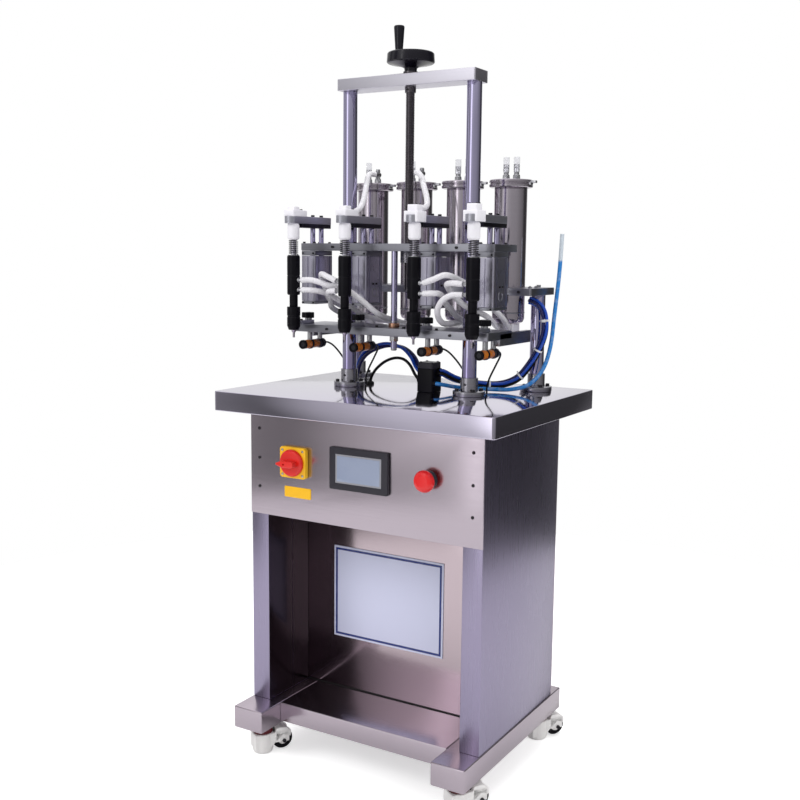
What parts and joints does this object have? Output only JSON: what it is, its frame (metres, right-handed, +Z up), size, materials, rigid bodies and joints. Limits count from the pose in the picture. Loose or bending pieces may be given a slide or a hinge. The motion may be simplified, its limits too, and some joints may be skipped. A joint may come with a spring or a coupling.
{
  "type": "filling machine",
  "caption": "Bench-height semi-automatic vacuum filling machine on a wheeled stainless cabinet, with a hand-wheel lift for its sprung nozzles and a rear row of tanks.",
  "frame": {"origin": "centre of the table, on the floor under the levelling feet", "axes": "+X the operator's right, +Y the back, +Z up"},
  "size_m": [0.6, 0.4527, 1.4256],
  "materials": {
    "brushed_steel": "brushed stainless sheet",
    "polished_steel": "polished stainless",
    "chrome": "hard-chromed bar",
    "grey_anodised": "grey anodised",
    "black_anodised": "black anodised, satin",
    "black_plastic": "moulded, satin",
    "amber_plastic": "clear-tinted moulding",
    "yellow_plastic": "moulded, satin",
    "red_plastic": "moulded, glossy",
    "ivory_nylon": "moulded, satin",
    "black_nylon": "moulded, satin",
    "blue_tube": "extruded polyurethane"
  },
  "bodies": {
    "cabinet": {"air_hose_bundle": "blue_tube", "bottom_tray": "brushed_steel", "cable_gland": "black_plastic", "control_panel": "brushed_steel", "inner_panel": "brushed_steel", "left_base_beam": "brushed_steel", "left_column": "chrome", "left_rear_post": "chrome", "left_wall": "brushed_steel", "rear_panel": "brushed_steel", "right_base_beam": "brushed_steel", "right_column": "chrome", "right_rear_post": "chrome", "right_wall": "brushed_steel", "switch_plate": "yellow_plastic", "tabletop": "polished_steel", "tank_1": "polished_steel", "tank_2": "polished_steel", "tank_3": "polished_steel", "tank_4": "polished_steel", "tank_shelf": "brushed_steel", "top_crossbar": "brushed_steel", "touch_panel": "black_plastic", "vent_tube": "blue_tube"},
    "handwheel": {"lead_screw": "chrome", "handwheel": "black_plastic"},
    "handwheel_grip": {"handwheel_grip": "black_plastic"},
    "carriage": {"upper_beam": "grey_anodised", "lower_beam": "grey_anodised", "tie_rod": "chrome", "air_cylinder_1": "grey_anodised", "air_cylinder_2": "grey_anodised", "air_cylinder_3": "grey_anodised", "air_cylinder_4": "grey_anodised", "bottle_guide_1": "black_plastic", "bottle_guide_2": "black_plastic", "bottle_guide_3": "black_plastic", "bottle_guide_4": "black_plastic", "bottle_sensor_1": "amber_plastic", "bottle_sensor_2": "amber_plastic", "bottle_sensor_3": "amber_plastic", "bottle_sensor_4": "amber_plastic"},
    "switch_knob": {"switch_knob": "red_plastic"},
    "stop_button": {"stop_button": "red_plastic"},
    "head_1": {"head_arm_1": "grey_anodised"},
    "nozzle_1": {"nozzle_1": "black_anodised"},
    "head_2": {"head_arm_2": "grey_anodised"},
    "nozzle_2": {"nozzle_2": "black_anodised"},
    "head_3": {"head_arm_3": "grey_anodised"},
    "nozzle_3": {"nozzle_3": "black_anodised"},
    "head_4": {"head_arm_4": "grey_anodised"},
    "nozzle_4": {"nozzle_4": "black_anodised"},
    "caster_front_left": {"caster_front_left": "ivory_nylon"},
    "wheel_front_left": {"wheel_front_left": "black_nylon"},
    "caster_front_right": {"caster_front_right": "ivory_nylon"},
    "wheel_front_right": {"wheel_front_right": "black_nylon"},
    "caster_rear_left": {"caster_rear_left": "ivory_nylon"},
    "wheel_rear_left": {"wheel_rear_left": "black_nylon"},
    "caster_rear_right": {"caster_rear_right": "ivory_nylon"},
    "wheel_rear_right": {"wheel_rear_right": "black_nylon"}
  },
  "joints": [
    {"name": "handwheel_spin", "type": "hinge", "parent": "cabinet", "child": "handwheel", "pos_m": [0, 0, 1.3353], "axis": [0, 0, 1], "range_deg": [-4950, 3600]},
    {"name": "carriage_lift", "type": "slide", "parent": "cabinet", "child": "carriage", "axis": [0, 0, 1], "range_m": [-0.04, 0.055]},
    {"name": "grip_spin", "type": "hinge", "parent": "handwheel", "child": "handwheel_grip", "pos_m": [-0.035, 0.015, 1.3776], "axis": [0, 0, 1], "continuous": true},
    {"name": "switch_turn", "type": "hinge", "parent": "cabinet", "child": "switch_knob", "pos_m": [-0.147, -0.1789, 0.598], "axis": [0, 1, 0], "range_deg": [0, 90]},
    {"name": "stop_press", "type": "slide", "parent": "cabinet", "child": "stop_button", "axis": [0, 1, 0], "range_m": [0, 0.005], "stiffness_N_per_m": 800, "springref_m": -0.002},
    {"name": "head_1_stroke", "type": "slide", "parent": "carriage", "child": "head_1", "axis": [0, 0, 1], "range_m": [-0.022, 0]},
    {"name": "nozzle_1_spring", "type": "slide", "parent": "head_1", "child": "nozzle_1", "axis": [0, 0, 1], "range_m": [0, 0.008], "stiffness_N_per_m": 400, "springref_m": -0.006},
    {"name": "head_2_stroke", "type": "slide", "parent": "carriage", "child": "head_2", "axis": [0, 0, 1], "range_m": [-0.022, 0]},
    {"name": "nozzle_2_spring", "type": "slide", "parent": "head_2", "child": "nozzle_2", "axis": [0, 0, 1], "range_m": [0, 0.008], "stiffness_N_per_m": 400, "springref_m": -0.006},
    {"name": "head_3_stroke", "type": "slide", "parent": "carriage", "child": "head_3", "axis": [0, 0, 1], "range_m": [-0.022, 0]},
    {"name": "nozzle_3_spring", "type": "slide", "parent": "head_3", "child": "nozzle_3", "axis": [0, 0, 1], "range_m": [0, 0.008], "stiffness_N_per_m": 400, "springref_m": -0.006},
    {"name": "head_4_stroke", "type": "slide", "parent": "carriage", "child": "head_4", "axis": [0, 0, 1], "range_m": [-0.022, 0]},
    {"name": "nozzle_4_spring", "type": "slide", "parent": "head_4", "child": "nozzle_4", "axis": [0, 0, 1], "range_m": [0, 0.008], "stiffness_N_per_m": 400, "springref_m": -0.006},
    {"name": "front_left_swivel", "type": "hinge", "parent": "cabinet", "child": "caster_front_left", "pos_m": [-0.222, -0.18, 0.03], "axis": [0, 0, 1], "continuous": true},
    {"name": "front_left_roll", "type": "hinge", "parent": "caster_front_left", "child": "wheel_front_left", "pos_m": [-0.19963, -0.14805, 0.022], "axis": [0.8192, -0.5736, 0], "continuous": true},
    {"name": "front_right_swivel", "type": "hinge", "parent": "cabinet", "child": "caster_front_right", "pos_m": [0.222, -0.18, 0.03], "axis": [0, 0, 1], "continuous": true},
    {"name": "front_right_roll", "type": "hinge", "parent": "caster_front_right", "child": "wheel_front_right", "pos_m": [0.24437, -0.14805, 0.022], "axis": [0.8192, -0.5736, 0], "continuous": true},
    {"name": "rear_left_swivel", "type": "hinge", "parent": "cabinet", "child": "caster_rear_left", "pos_m": [-0.222, 0.172, 0.03], "axis": [0, 0, 1], "continuous": true},
    {"name": "rear_left_roll", "type": "hinge", "parent": "caster_rear_left", "child": "wheel_rear_left", "pos_m": [-0.19963, 0.20395, 0.022], "axis": [0.8192, -0.5736, 0], "continuous": true},
    {"name": "rear_right_swivel", "type": "hinge", "parent": "cabinet", "child": "caster_rear_right", "pos_m": [0.222, 0.172, 0.03], "axis": [0, 0, 1], "continuous": true},
    {"name": "rear_right_roll", "type": "hinge", "parent": "caster_rear_right", "child": "wheel_rear_right", "pos_m": [0.24437, 0.20395, 0.022], "axis": [0.8192, -0.5736, 0], "continuous": true}
  ],
  "couplings": [
    {"joint": "handwheel_spin", "follows": "carriage_lift", "rad_per_m": -1570.8}
  ]
}
